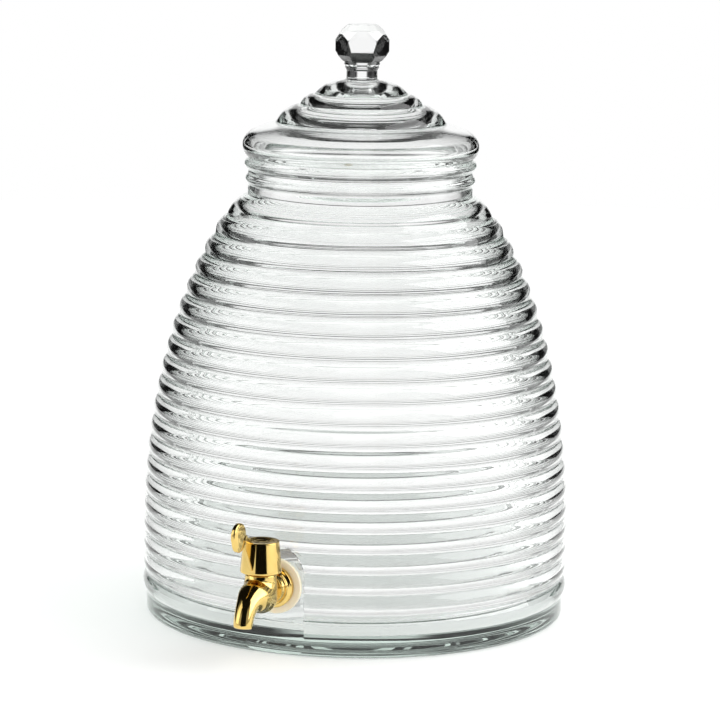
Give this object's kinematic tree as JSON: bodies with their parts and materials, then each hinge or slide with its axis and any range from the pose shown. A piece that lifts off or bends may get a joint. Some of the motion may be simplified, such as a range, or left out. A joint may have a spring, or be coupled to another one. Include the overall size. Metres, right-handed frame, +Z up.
{
  "type": "glass beverage dispenser",
  "caption": "Free-standing glass drink dispenser: ribbed beehive jar on a thick base, lift-off domed lid with a cut knob, and a gold tap with a turning lever low on the wall.",
  "frame": {"origin": "centre of the base, on the plane that the jar stands on", "axes": "+Z up the jar's axis, -Y out along the tap, +X to the right of someone who faces the tap"},
  "size_m": [0.2844, 0.3442, 0.393],
  "materials": {
    "jar_glass": "clear soda-lime glass, fire polished, faintly green where thick",
    "lid_glass": "clear soda-lime glass, fire polished",
    "knob_crystal": "clear cut crystal with polished facets",
    "gold_plate": "mirror-polished gold plating over cast metal",
    "bare_brass": "turned brass",
    "silicone": "cream translucent silicone",
    "nut_plastic": "natural white moulded plastic",
    "o_ring_rubber": "black moulded rubber",
    "slip_plastic": "white low-friction plastic",
    "screw_steel": "zinc-plated steel"
  },
  "bodies": {
    "jar": {"glass_jar": "jar_glass", "outer_washer": "silicone", "inner_washer": "silicone", "lock_nut": "nut_plastic", "tap_body": "gold_plate", "bonnet": "bare_brass"},
    "lid": {"lid": "lid_glass", "lid_knob": "knob_crystal"},
    "handle": {"tap_handle": "gold_plate", "handle_screw": "screw_steel", "handle_button": "gold_plate", "valve_plug": "bare_brass", "upper_o_ring": "o_ring_rubber", "lower_o_ring": "o_ring_rubber", "slip_ring": "slip_plastic"}
  },
  "joints": [
    {"name": "lid_lift", "type": "slide", "parent": "jar", "child": "lid", "axis": [0, 0, 1], "range_m": [0, 0.08]},
    {"name": "handle_turn", "type": "hinge", "parent": "jar", "child": "handle", "pos_m": [0, -0.1638, 0.0595], "axis": [0, 0, 1], "range_deg": [0, 90]}
  ]
}
